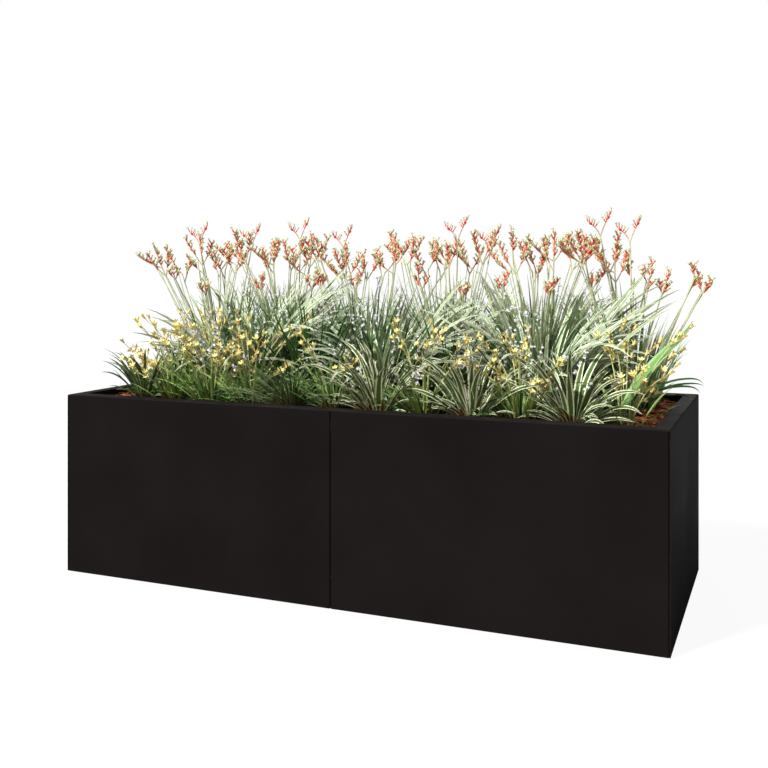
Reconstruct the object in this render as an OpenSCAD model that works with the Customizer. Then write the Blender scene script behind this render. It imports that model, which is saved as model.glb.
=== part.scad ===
// Long trough planter bolted together from folded steel panels, standing flat on the ground,
// filled with gravel, soil and bark and planted in three rows.
// X runs along the length, Y from front to back, Z up. The origin is on the ground at the centre.

/* [Planter] */
// Overall length
planter_l = 2000; // [1600:10:3000]
// Overall width, front face to back face
planter_w = 800; // [700:10:1200]
// Height from the ground to the rim
planter_h = 600; // [450:10:900]

/* [Wall panels] */
// Thickness of the wall sheet
sheet_t = 2.5; // [1.5:0.5:4]
// Outside radius of the upright edges of the long panels
edge_r = 5.5; // [4.5:0.5:8]
// Outside radius of the fold along the rim
rim_fold_r = 4.5; // [4.5:0.5:6]
// Width of the flat rim, folded inwards
rim_w = 45; // [35:1:70]
// Depth of the lip folded down behind the rim
lip_h = 20; // [12:1:30]
// Width of the flange folded inwards along the ground
foot_w = 40; // [30:1:60]
// Width of the bolting flanges on the upright edges
joint_w = 30; // [26:1:45]
// Gap between panels that butt together
panel_gap = 0.3; // [0.2:0.1:1]

/* [Fasteners] */
// Diameter of the bolts and of the weld studs
bolt_d = 6; // [5:1:8]
// Clearance of a bolt hole, on the diameter
hole_play = 0.6; // [0.4:0.1:1]
// Distance from the outside face to the bolt axes
bolt_inset = 17; // [16:0.5:18]
// Height of the lowest bolt above the ground, and depth of the highest below the rim
bolt_end = 65; // [60:1:100]
// Number of bolts in one upright joint
bolts_per_joint = 3; // [3:2:5]
// Length of the weld studs on the end panels
stud_l = 16; // [15:1:20]

/* [Cross tie] */
// Thickness of the flat bar that ties front and back together
tie_t = 4; // [3:1:6]
// Depth of the flat bar
tie_h = 30; // [25:1:50]

/* [Floor] */
// Height of the folded bearers that carry the floor
bearer_h = 30; // [20:1:40]
// Width of a bearer across its two feet
bearer_w = 70; // [60:1:90]
// Width of the flat top of a bearer
bearer_top_w = 40; // [30:1:48]
// Thickness of the sheet of the bearers and floor pans
floor_t = 2; // [1.5:0.5:3]
// Depth of the upturned edge of a floor pan
pan_edge_h = 25; // [15:1:30]
// Clearance of the floor pans and of the filling to the walls
pan_gap = 1.5; // [1:0.5:4]
// Diameter of a drain hole
drain_d = 12; // [8:1:20]
// Distance between drain holes across the width
drain_pitch = 220; // [100:10:230]

/* [Filling] */
// Depth of the drainage gravel
gravel_depth = 60; // [40:5:100]
// Thickness of the filter mat
mat_t = 3; // [2:0.5:5]
// Depth of the bark surface below the rim
bark_drop = 35; // [30:1:80]
// Thickness of the bark layer
bark_t = 25; // [15:1:50]

/* [Planting] */
// Distance from the front or back face to the outer rows of plants
row_inset = 185; // [150:5:200]
// Distance from an end face to the last plant of the front row
front_end_inset = 148; // [140:1:160]
// Distance from an end face to the last plant of the middle row
middle_end_inset = 190; // [170:1:210]
// Distance from an end face to the last plant of the back row
back_end_inset = 200; // [180:1:220]
// Clearance between neighbouring plants
plant_gap = 5; // [3:1:10]
// Radius of the root balls in the front row
small_root_r = 45; // [30:1:50]
// Radius of the root balls in the middle and back rows
large_root_r = 65; // [40:1:70]
// Depth of the root balls
root_depth = 120; // [90:5:140]
// Height of the striped rosettes above the bark
rosette_h = 250; // [150:10:350]
// Height of the low flowering plants above the bark
yellow_h = 295; // [250:5:400]
// Height of the grasses above the bark
grass_h = 375; // [250:5:450]
// Height of the broad-leaved clumps above the bark
clump_h = 410; // [250:5:450]
// Height of the tall flowering plants above the bark
red_h = 655; // [610:5:900]
// Radius of a tall plant's flower head
red_head_r = 110; // [80:5:130]
// Depth of a tall plant's flower head
red_head_h = 160; // [100:10:180]
// How far the flower heads at the two ends lean outwards
end_lean = 150; // [50:10:170]

/* [Hidden] */
$fn = 48;

black_coat = [0.10, 0.09, 0.09];
galvanised = [0.62, 0.64, 0.66];
stainless = [0.75, 0.75, 0.76];

// Cuts run past the surface they open by this much.
past = 1;

// Walls
half_l = planter_l / 2;
half_w = planter_w / 2;
panel_end_x = half_l - sheet_t - panel_gap;

// Fasteners
washer_d = 2 * bolt_d;
washer_t = 1.6;
head_across = bolt_d / 0.6;
head_h = 0.7 * bolt_d;
nut_h = 0.85 * bolt_d;
tie_bolt = floor(bolts_per_joint / 2);
bolt_z = [for (i = [0 : bolts_per_joint - 1])
    bolt_end + i * (planter_h - 2 * bolt_end) / (bolts_per_joint - 1)];
bolt_y = half_w - bolt_inset;
flange_face = panel_gap / 2 + sheet_t;
corner_face = panel_end_x - sheet_t;

// Room kept clear of the filling around the joints
seam_room = flange_face + tie_t + washer_t + nut_h + 2 * bolt_d;
corner_room = half_l - sheet_t - stud_l - bolt_d;
joint_room = joint_w + 2;

// Floor
pan_z = sheet_t + bearer_h;
pan_end_x = half_l - sheet_t - pan_gap;
pan_side_y = half_w - sheet_t - pan_gap;
inner_bearer_x = edge_r + pan_gap + bearer_w / 2;
outer_bearer_x = panel_end_x - edge_r - bearer_w / 2;
middle_bearer_x = (inner_bearer_x + outer_bearer_x) / 2;
bearer_x = [-outer_bearer_x, -middle_bearer_x, -inner_bearer_x,
    inner_bearer_x, middle_bearer_x, outer_bearer_x];

// Filling
gravel_z = pan_z + floor_t;
mat_z = gravel_z + gravel_depth;
soil_z = mat_z + mat_t;
bark_z = planter_h - bark_drop - bark_t;
top_z = planter_h - bark_drop;

// Planting: three rows, each spread evenly between its two end insets
front_count = 12;
middle_count = 7;
back_count = 6;
row_y = half_w - row_inset;
front_pitch = 2 * (half_l - front_end_inset) / (front_count - 1);
middle_pitch = 2 * (half_l - middle_end_inset) / (middle_count - 1);
back_pitch = 2 * (half_l - back_end_inset) / (back_count - 1);
function front_x(i) = (i - (front_count - 1) / 2) * front_pitch;
function middle_x(i) = (i - (middle_count - 1) / 2) * middle_pitch;
function back_x(i) = (i - (back_count - 1) / 2) * back_pitch;

front_leaf_r = min(front_pitch, row_y) / 2 - plant_gap;
middle_leaf_r = min(row_y - front_leaf_r, middle_pitch / 2) - plant_gap;
back_leaf_r = min(row_y - middle_leaf_r, back_pitch / 2) - plant_gap;
yellow_head_r = front_leaf_r - plant_gap;
yellow_head_h = 140;

// Every root ball: x, y and radius
roots = concat(
    [for (i = [0 : front_count - 1]) [front_x(i), -row_y, small_root_r]],
    [for (i = [0 : middle_count - 1]) [middle_x(i), 0, large_root_r]],
    [for (i = [0 : back_count - 1]) [back_x(i), row_y, large_root_r]]
);

// ---- Outlines ----

// A channel seen from above: a face of the given length with both ends turned in
module channel_outline(length, depth, r) {
    translate([r, r]) circle(r);
    translate([length - r, r]) circle(r);
    translate([r, 0]) square([length - 2 * r, depth]);
    translate([0, r]) square([length, depth - r]);
}

// Section of the rim: quarter-round fold, flat top and lip, measured inwards from the face
module rim_section() {
    difference() {
        union() {
            intersection() {
                translate([rim_fold_r, -rim_fold_r]) circle(rim_fold_r);
                translate([0, -rim_fold_r]) square(rim_fold_r);
            }
            translate([rim_fold_r, -lip_h]) square([rim_w - rim_fold_r, lip_h]);
        }
        translate([rim_fold_r, -rim_fold_r]) circle(rim_fold_r - sheet_t);
        translate([rim_fold_r, -lip_h - past])
            square([rim_w - rim_fold_r - sheet_t, lip_h + past - sheet_t]);
    }
}

// Section of a floor bearer: a hat with two feet
module bearer_section() {
    foot = (bearer_w - bearer_top_w) / 2 + floor_t;
    for (side = [-1, 1]) {
        translate([side * (bearer_w - foot) / 2 - foot / 2, 0]) square([foot, floor_t]);
        translate([side * (bearer_top_w - floor_t) / 2 - floor_t / 2, 0]) square([floor_t, bearer_h]);
    }
    translate([-bearer_top_w / 2, bearer_h - floor_t]) square([bearer_top_w, floor_t]);
}

// One floor pan from above, drawn in from its edges by inset, with a notch at each joint
module pan_outline(inset) {
    notch_y = half_w - joint_room - inset;
    notch_in = seam_room + inset;
    notch_out = corner_room - inset;
    translate([notch_in, -pan_side_y + inset])
        square([notch_out - notch_in, 2 * (pan_side_y - inset)]);
    translate([pan_gap + inset, -notch_y])
        square([pan_end_x - pan_gap - 2 * inset, 2 * notch_y]);
}

// The whole inside from above, with a notch at each joint
module filling_outline() {
    difference() {
        translate([-pan_end_x, -pan_side_y]) square([2 * pan_end_x, 2 * pan_side_y]);
        for (side = [-1, 1]) translate([0, side * half_w]) {
            square([2 * seam_room, 2 * joint_room], center = true);
            for (end = [-1, 1]) translate([end * half_l, 0])
                square([2 * (half_l - corner_room), 2 * joint_room], center = true);
        }
    }
}

// ---- Wall panels ----

module bolt_row(r, length) {
    for (z = bolt_z) translate([0, 0, z]) rotate([0, 90, 0]) cylinder(r = r, h = length, center = true);
}

// Front right panel; the other three long panels are its mirror images
module long_panel() {
    length = panel_end_x - panel_gap / 2;
    difference() {
        union() {
            translate([panel_gap / 2, -half_w, 0]) linear_extrude(planter_h - rim_fold_r) difference() {
                channel_outline(length, joint_w, edge_r);
                translate([sheet_t, sheet_t])
                    channel_outline(length - 2 * sheet_t, joint_w, edge_r - sheet_t);
            }
            translate([panel_gap / 2, -half_w, planter_h]) rotate([90, 0, 90])
                linear_extrude(half_l - panel_gap / 2) rim_section();
            translate([panel_gap / 2 + edge_r, -half_w, 0])
                cube([length - 2 * edge_r, foot_w, sheet_t]);
        }
        mitre_corner(panel_gap / 2);
        for (x = [panel_gap / 2, panel_end_x]) translate([x, -bolt_y, 0])
            bolt_row((bolt_d + hole_play) / 2, 4 * sheet_t);
    }
}

// Cuts the long panel's rim at 45 degrees where it meets the end panel's
module mitre_corner(gap) {
    reach = rim_w + past;
    translate([half_l - gap, -half_w, planter_h - lip_h - past]) linear_extrude(lip_h + 2 * past)
        polygon([[past, -past], [past, reach], [-reach, reach]]);
}

// Right end panel; the left one is its mirror image
module end_panel() {
    reach = rim_w + past;
    foot_l = planter_w - 2 * (foot_w + panel_gap);
    difference() {
        union() {
            translate([half_l - sheet_t, -half_w, 0])
                cube([sheet_t, planter_w, planter_h - rim_fold_r]);
            translate([half_l, half_w, planter_h]) mirror([1, 0, 0]) rotate([90, 0, 0])
                linear_extrude(planter_w) rim_section();
            translate([half_l - foot_w, -foot_l / 2, 0]) cube([foot_w, foot_l, sheet_t]);
        }
        for (side = [0, 1]) mirror([0, side, 0])
            translate([half_l, -half_w + panel_gap / 2, planter_h - lip_h - past])
                linear_extrude(lip_h + 2 * past)
                    polygon([[past, -past], [-reach, reach], [-reach, -past]]);
    }
}

module front_right_panel() color(black_coat) long_panel();
module front_left_panel() color(black_coat) mirror([1, 0, 0]) long_panel();
module back_right_panel() color(black_coat) mirror([0, 1, 0]) long_panel();
module back_left_panel() color(black_coat) rotate([0, 0, 180]) long_panel();
module right_end_panel() color(black_coat) end_panel();
module left_end_panel() color(black_coat) mirror([1, 0, 0]) end_panel();

// ---- Cross tie ----

module cross_tie() color(galvanised) {
    tie_l = planter_w - 2 * (edge_r + pan_gap);
    difference() {
        translate([flange_face, -tie_l / 2, bolt_z[tie_bolt] - tie_h / 2]) cube([tie_t, tie_l, tie_h]);
        for (y = [-bolt_y, bolt_y]) translate([flange_face, y, bolt_z[tie_bolt]])
            rotate([0, 90, 0]) cylinder(d = bolt_d + hole_play, h = 4 * tie_t, center = true);
    }
}

// ---- Fasteners, modelled along +X ----

module along_x() rotate([0, 90, 0]) children();

module washer() along_x() difference() {
    cylinder(d = washer_d, h = washer_t);
    translate([0, 0, -past]) cylinder(d = bolt_d + hole_play, h = washer_t + 2 * past);
}

module nut() along_x() difference() {
    cylinder(d = head_across / cos(30), h = nut_h, $fn = 6);
    translate([0, 0, -past]) cylinder(d = bolt_d + hole_play / 2, h = nut_h + 2 * past);
}

// Puts the children at every bolt of both seams; $stack is what the nut's side also clamps
module at_seam_bolts() {
    for (side = [-1, 1], i = [0 : bolts_per_joint - 1]) {
        $stack = i == tie_bolt ? tie_t : 0;
        translate([0, side * bolt_y, bolt_z[i]]) children();
    }
}

// Puts the children at every stud of the right end, and mirrored at the left end
module at_studs() {
    for (end = [0, 1]) mirror([end, 0, 0])
        for (side = [-1, 1], z = bolt_z) translate([0, side * bolt_y, z]) children();
}

module seam_bolts() color(stainless) at_seam_bolts() {
    head_x = -flange_face - washer_t;
    translate([head_x - head_h, 0, 0]) along_x() cylinder(d = head_across / cos(30), h = head_h, $fn = 6);
    translate([head_x, 0, 0]) along_x()
        cylinder(d = bolt_d, h = 2 * (flange_face + washer_t) + $stack + nut_h + bolt_d / 2);
}

module seam_washers() color(stainless) at_seam_bolts() {
    translate([-flange_face - washer_t, 0, 0]) washer();
    translate([flange_face + $stack, 0, 0]) washer();
}

module seam_nuts() color(stainless) at_seam_bolts()
    translate([flange_face + $stack + washer_t, 0, 0]) nut();

module weld_studs() color(stainless) at_studs()
    translate([half_l - sheet_t - stud_l, 0, 0]) along_x() cylinder(d = bolt_d, h = stud_l);

module corner_washers() color(stainless) at_studs()
    translate([corner_face - washer_t, 0, 0]) washer();

module corner_nuts() color(stainless) at_studs()
    translate([corner_face - washer_t - nut_h, 0, 0]) nut();

// ---- Floor ----

module floor_bearer(i) color(galvanised)
    translate([bearer_x[i], pan_side_y, sheet_t]) rotate([90, 0, 0])
        linear_extrude(2 * pan_side_y) bearer_section();

module floor_pan() difference() {
    translate([0, 0, pan_z]) linear_extrude(pan_edge_h) pan_outline(0);
    translate([0, 0, pan_z + floor_t]) linear_extrude(pan_edge_h) pan_outline(floor_t);
    for (x = [inner_bearer_x, outer_bearer_x], y = [-drain_pitch, 0, drain_pitch])
        translate([(x + middle_bearer_x) / 2, y, pan_z - past])
            cylinder(d = drain_d, h = floor_t + 2 * past);
}

module right_floor_pan() color(galvanised) floor_pan();
module left_floor_pan() color(galvanised) mirror([1, 0, 0]) floor_pan();

// ---- Filling ----

module gravel_bed() translate([0, 0, gravel_z]) linear_extrude(gravel_depth) pan_outline(floor_t);
module right_gravel_bed() color("dimgray") gravel_bed();
module left_gravel_bed() color("dimgray") mirror([1, 0, 0]) gravel_bed();

module filter_mat() color("gray") translate([0, 0, mat_z]) linear_extrude(mat_t) filling_outline();

module root_pockets() {
    for (root = roots) translate([root[0], root[1], top_z - root_depth])
        cylinder(r = root[2], h = root_depth + past);
}

module soil() color([0.20, 0.13, 0.09]) difference() {
    translate([0, 0, soil_z]) linear_extrude(bark_z - soil_z) filling_outline();
    root_pockets();
    translate([flange_face - pan_gap, -half_w, bolt_z[tie_bolt] - tie_h / 2 - pan_gap])
        cube([tie_t + 2 * pan_gap, planter_w, tie_h + 2 * pan_gap]);
}

module bark_mulch() color([0.30, 0.16, 0.09]) difference() {
    translate([0, 0, bark_z]) linear_extrude(bark_t) filling_outline();
    root_pockets();
}

// ---- Plants ----

// Root ball and a bunch of leaves that widens from the crown to leaf_r
module leafy_plant(x, y, root_r, leaf_r, leaf_h) translate([x, y, top_z]) {
    translate([0, 0, -root_depth]) cylinder(r = root_r, h = root_depth);
    cylinder(r1 = min(root_r, leaf_r) * 0.8, r2 = leaf_r, h = leaf_h);
}

// A leafy plant whose bunch of stems carries a flower head, offset along X by lean
module flowering_plant(x, y, root_r, leaf_r, leaf_h, stem_r, head_r, head_h, total_h, lean) {
    leafy_plant(x, y, root_r, leaf_r, leaf_h);
    stem_h = total_h - head_h / 2;
    translate([x, y, top_z]) rotate([0, atan2(lean, stem_h), 0])
        cylinder(r = stem_r, h = norm([lean, stem_h]));
    translate([x + lean, y, top_z + total_h - head_h]) cylinder(r1 = head_r / 2, r2 = head_r, h = head_h);
}

module striped_rosette(i) color([0.62, 0.68, 0.45])
    leafy_plant(front_x(i), -row_y, small_root_r, front_leaf_r, rosette_h);

module fine_leaved_tuft(i) color([0.30, 0.40, 0.22])
    leafy_plant(front_x(i), -row_y, small_root_r, front_leaf_r, rosette_h * 0.7);

module yellow_kangaroo_paw(i) color([0.85, 0.78, 0.40])
    flowering_plant(front_x(i), -row_y, small_root_r, front_leaf_r * 0.6, yellow_h / 2, 10,
        yellow_head_r, yellow_head_h, yellow_h, 0);

module green_grass(i) color([0.28, 0.45, 0.24])
    leafy_plant(middle_x(i), 0, large_root_r, middle_leaf_r, grass_h);

module silver_clump(i) color([0.60, 0.66, 0.56])
    leafy_plant(middle_x(i), 0, large_root_r, middle_leaf_r, clump_h);

module red_kangaroo_paw(i) color([0.82, 0.35, 0.25]) {
    lean = i == 0 ? -end_lean : i == back_count - 1 ? end_lean : 0;
    flowering_plant(back_x(i), row_y, large_root_r, back_leaf_r, red_h / 2, 14,
        red_head_r, red_head_h, red_h, lean);
}

front_left_panel();
front_right_panel();
back_left_panel();
back_right_panel();
left_end_panel();
right_end_panel();
cross_tie();
floor_bearer(0);  // floor_bearer_1
floor_bearer(1);  // floor_bearer_2
floor_bearer(2);  // floor_bearer_3
floor_bearer(3);  // floor_bearer_4
floor_bearer(4);  // floor_bearer_5
floor_bearer(5);  // floor_bearer_6
left_floor_pan();
right_floor_pan();
seam_bolts();
seam_washers();
seam_nuts();
weld_studs();
corner_washers();
corner_nuts();
left_gravel_bed();
right_gravel_bed();
filter_mat();
soil();
bark_mulch();
striped_rosette(0);  // striped_rosette_1
yellow_kangaroo_paw(1);  // yellow_kangaroo_paw_1
yellow_kangaroo_paw(2);  // yellow_kangaroo_paw_2
yellow_kangaroo_paw(3);  // yellow_kangaroo_paw_3
fine_leaved_tuft(4);
yellow_kangaroo_paw(5);  // yellow_kangaroo_paw_4
striped_rosette(6);  // striped_rosette_2
yellow_kangaroo_paw(7);  // yellow_kangaroo_paw_5
striped_rosette(8);  // striped_rosette_3
yellow_kangaroo_paw(9);  // yellow_kangaroo_paw_6
striped_rosette(10);  // striped_rosette_4
yellow_kangaroo_paw(11);  // yellow_kangaroo_paw_7
green_grass(0);  // green_grass_1
silver_clump(1);  // silver_clump_1
green_grass(2);  // green_grass_2
silver_clump(3);  // silver_clump_2
green_grass(4);  // green_grass_3
silver_clump(5);  // silver_clump_3
green_grass(6);  // green_grass_4
red_kangaroo_paw(0);  // red_kangaroo_paw_1
red_kangaroo_paw(1);  // red_kangaroo_paw_2
red_kangaroo_paw(2);  // red_kangaroo_paw_3
red_kangaroo_paw(3);  // red_kangaroo_paw_4
red_kangaroo_paw(4);  // red_kangaroo_paw_5
red_kangaroo_paw(5);  // red_kangaroo_paw_6
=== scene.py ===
"""Looks of a planted trough planter: powder-coated steel walls, bark mulch and three rows of plants."""
import math

import bpy
import numpy as np
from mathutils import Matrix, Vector


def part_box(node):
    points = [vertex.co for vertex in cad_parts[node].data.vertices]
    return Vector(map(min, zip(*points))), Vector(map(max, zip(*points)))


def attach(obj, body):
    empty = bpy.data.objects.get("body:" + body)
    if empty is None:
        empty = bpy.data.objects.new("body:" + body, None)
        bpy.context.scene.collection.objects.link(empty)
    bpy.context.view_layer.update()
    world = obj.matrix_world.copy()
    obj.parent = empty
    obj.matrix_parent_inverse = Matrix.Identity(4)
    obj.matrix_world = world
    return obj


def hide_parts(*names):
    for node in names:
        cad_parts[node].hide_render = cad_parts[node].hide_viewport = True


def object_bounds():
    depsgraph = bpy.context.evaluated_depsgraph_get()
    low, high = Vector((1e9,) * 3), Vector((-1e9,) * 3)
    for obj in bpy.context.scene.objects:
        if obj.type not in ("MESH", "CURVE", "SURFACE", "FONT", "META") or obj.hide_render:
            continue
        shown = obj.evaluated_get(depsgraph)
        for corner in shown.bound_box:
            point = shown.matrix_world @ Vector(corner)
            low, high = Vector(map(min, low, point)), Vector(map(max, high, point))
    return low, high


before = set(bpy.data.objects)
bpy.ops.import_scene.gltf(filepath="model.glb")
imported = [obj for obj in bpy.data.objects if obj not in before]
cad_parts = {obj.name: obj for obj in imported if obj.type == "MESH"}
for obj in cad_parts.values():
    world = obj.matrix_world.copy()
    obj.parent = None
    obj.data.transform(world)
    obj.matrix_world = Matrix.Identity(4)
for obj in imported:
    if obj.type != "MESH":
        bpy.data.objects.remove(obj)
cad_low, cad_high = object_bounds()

# ---- Camera ----

CAMERA_PLACE = (1.2985, -2.9416, 1.0132)
CAMERA_TURN = 21.553  # degrees to the left of straight ahead
LENS, SENSOR = 44.12, 36  # mm
SHIFT = (-0.0480, -0.1444)  # shares of the frame's width
FAR_CLIP = 100


def link(obj):
    """Puts an object in the scene."""
    bpy.context.scene.collection.objects.link(obj)


camera_data = bpy.data.cameras.new("camera")
camera_data.lens = LENS
camera_data.sensor_width = SENSOR
camera_data.shift_x, camera_data.shift_y = SHIFT
camera_data.clip_end = FAR_CLIP
camera = bpy.data.objects.new("camera", camera_data)
camera.location = CAMERA_PLACE
camera.rotation_euler = (math.radians(90), 0, math.radians(CAMERA_TURN))
link(camera)
bpy.context.scene.camera = camera

# ---- Places taken from the frame ----

HALF_L, RIM_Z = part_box("right_end_panel")[1].x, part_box("right_end_panel")[1].z
HALF_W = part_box("back_right_panel")[1].y
BARK_LOW, BARK_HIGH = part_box("bark_mulch")
BARK_Z = BARK_HIGH.z
TOP_STEM_Z = cad_high.z - 0.024  # height that the tallest stems end at
BALL_SLACK = 0.001  # metres that still belong to the bottom of a root ball


def nodes_called(start):
    """The CAD nodes whose names start so, in order."""
    return sorted(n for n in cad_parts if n.startswith(start))


def crown(node):
    """Where a plant leaves the bark: the middle of its root ball, at the bark's surface."""
    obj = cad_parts[node]
    points = [v.co for v in obj.data.vertices]
    bottom = min(p.z for p in points)
    ball = [p for p in points if p.z < bottom + BALL_SLACK]
    x = (min(p.x for p in ball) + max(p.x for p in ball)) / 2
    y = (min(p.y for p in ball) + max(p.y for p in ball)) / 2
    return Vector((x, y, BARK_Z))


# ---- Colours ----


def tone(red, green, blue):
    """A colour given in the usual 0 to 255 steps, as the linear colour that shaders take."""
    def linear(step):
        share = step / 255
        return share / 12.92 if share <= 0.04045 else ((share + 0.055) / 1.055) ** 2.4
    return (linear(red), linear(green), linear(blue), 1.0)


# ---- Shader wiring ----


class Wiring:
    """Short calls that add nodes to one node tree and join them up."""

    def __init__(self, tree):
        self.tree = tree

    def node(self, kind, **settings):
        made = self.tree.nodes.new(kind)
        for name, value in settings.items():
            setattr(made, name, value)
        return made

    def feed(self, socket, value):
        if isinstance(value, bpy.types.NodeSocket):
            self.tree.links.new(value, socket)
        elif value is not None:
            socket.default_value = value

    def fed(self, made, values):
        """Feeds the sockets of these names; an underscore stands for a space."""
        for name, value in values.items():
            self.feed(made.inputs[name.replace("_", " ")], value)
        return made

    def output_of(self, kind, **values):
        return self.fed(self.node(kind), values).outputs[0]

    def math(self, operation, a, b=None, clamp=False):
        made = self.node("ShaderNodeMath", operation=operation, use_clamp=clamp)
        self.feed(made.inputs[0], a)
        self.feed(made.inputs[1], b)
        return made.outputs[0]

    def mix(self, share, first, second, blend="MIX"):
        made = self.node("ShaderNodeMix", data_type="RGBA", blend_type=blend)
        return self.fed(made, {"Factor": share, "A": first, "B": second}).outputs["Result"]

    def spread(self, value, low, high, new_low=0.0, new_high=1.0):
        made = self.node("ShaderNodeMapRange", interpolation_type="SMOOTHSTEP")
        for socket, number in zip(made.inputs, (value, low, high, new_low, new_high)):
            self.feed(socket, number)
        return made.outputs[0]

    def noise(self, place, scale, detail=3.0, rough=0.55, stretch=(1, 1, 1)):
        moved = self.output_of("ShaderNodeMapping", Vector=place, Scale=stretch)
        values = {"Vector": moved, "Scale": scale, "Detail": detail, "Roughness": rough}
        return self.fed(self.node("ShaderNodeTexNoise"), values).outputs["Fac"]

    def cells(self, place, scale, out="Distance"):
        return self.fed(self.node("ShaderNodeTexVoronoi"), {"Vector": place, "Scale": scale}).outputs[out]

    def place(self):
        return self.node("ShaderNodeTexCoord").outputs["Object"]

    def sheet(self):
        return self.node("ShaderNodeUVMap", uv_map="leaf").outputs[0]

    def value_of(self, name):
        return self.node("ShaderNodeAttribute", attribute_name=name).outputs["Fac"]

    def split(self, vector):
        made = self.node("ShaderNodeSeparateXYZ")
        self.feed(made.inputs[0], vector)
        return made.outputs

    def plus(self, a, b, clamp=False):
        return self.math("ADD", a, b, clamp)

    def minus(self, a, b):
        return self.math("SUBTRACT", a, b)

    def times(self, a, b):
        return self.math("MULTIPLY", a, b)

    def centred(self, value, amount):
        """Turns a value that runs from 0 to 1 into one that runs from -amount/2 to amount/2."""
        return self.times(self.minus(value, 0.5), amount)

    def use(self, group, **values):
        return self.fed(self.node("ShaderNodeGroup", node_tree=group), values).outputs

    def by_ray(self, to_others, to_camera):
        """One shader for the camera and another for every other ray."""
        made = self.node("ShaderNodeMixShader")
        rays = self.node("ShaderNodeLightPath").outputs["Is Camera Ray"]
        for socket, value in zip(made.inputs, (rays, to_others, to_camera)):
            self.feed(socket, value)
        return made.outputs[0]


def new_group(name, colours, numbers, colours_out, numbers_out):
    """An empty node group with these named sockets; returns it, its wiring, its inputs and its outputs."""
    tree = bpy.data.node_groups.new(name, "ShaderNodeTree")
    for side, kind, labels in (("INPUT", "Color", colours), ("INPUT", "Float", numbers),
                               ("OUTPUT", "Color", colours_out), ("OUTPUT", "Float", numbers_out)):
        for label in labels:
            tree.interface.new_socket(label, in_out=side, socket_type="NodeSocket" + kind)
    wiring = Wiring(tree)
    source = wiring.node("NodeGroupInput").outputs
    sink = wiring.node("NodeGroupOutput").inputs
    return tree, wiring, source, sink


GRAIN_TIMES = 14.0  # how much finer the grain of a mottle is than its clouds
WAVE_TIMES = 9.0  # how much longer the wave under a fine grain is than its pebbles
TINT_STEPS = 37.0  # moves each leaf to its own part of the noise
VEINS = 55.0  # radians of vein ripple across a leaf
DOWN = 900.0  # scale of the down on flowers and stems
TUBE_VARIATION = 0.35  # how much lighter or darker one flower or stem is than another


def make_mottle():
    """Cloudy change from one colour to another, with a finer grain over it."""
    tree, w, source, sink = new_group("mottle", ["First", "Second"], ["Scale", "Grain"],
                                      ["Colour"], ["Cloud"])
    place = w.place()
    broad = w.noise(place, source["Scale"], 3.0)
    fine = w.noise(place, w.times(source["Scale"], GRAIN_TIMES), 2.0)
    cloud = w.plus(w.spread(broad, 0.3, 0.7), w.centred(fine, source["Grain"]), clamp=True)
    w.feed(sink["Colour"], w.mix(cloud, source["First"], source["Second"]))
    w.feed(sink["Cloud"], cloud)
    return tree


def make_worn_edges():
    """1 on rubbed edges and 0 on flats, broken up by noise."""
    tree, w, source, sink = new_group("worn_edges", [], ["Radius", "Breakup"], [], ["Mask"])
    bevel = w.fed(w.node("ShaderNodeBevel", samples=4), {"Radius": source["Radius"]})
    dot = w.node("ShaderNodeVectorMath", operation="DOT_PRODUCT")
    w.feed(dot.inputs[0], bevel.outputs[0])
    w.feed(dot.inputs[1], w.node("ShaderNodeNewGeometry").outputs["Normal"])
    edge = w.spread(dot.outputs["Value"], 0.995, 0.80)
    patchy = w.noise(w.place(), source["Breakup"], 4.0)
    w.feed(sink["Mask"], w.times(edge, w.spread(patchy, 0.35, 0.65)))
    return tree


def make_settled_dust():
    """1 where dust would lie: faces that look up, in cloudy patches."""
    tree, w, source, sink = new_group("settled_dust", [], ["Scale", "Amount"], [], ["Mask"])
    up = w.split(w.node("ShaderNodeNewGeometry").outputs["Normal"])["Z"]
    lying = w.spread(up, 0.4, 0.95)
    cloud = w.spread(w.noise(w.place(), source["Scale"], 5.0, 0.65), 0.35, 0.75)
    w.feed(sink["Mask"], w.times(w.times(lying, cloud), source["Amount"]))
    return tree


def make_fine_grain():
    """Height of a fine pebbled skin, such as powder coat or felt, with a longer wave under it."""
    tree, w, source, sink = new_group("fine_grain", [], ["Scale", "Wave"], [], ["Height"])
    place = w.place()
    pebbles = w.noise(place, source["Scale"], 2.0)
    wave = w.noise(place, w.math("DIVIDE", source["Scale"], WAVE_TIMES), 2.0)
    waved = w.times(wave, source["Wave"])
    w.feed(sink["Height"], w.plus(pebbles, waved))
    return tree


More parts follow.
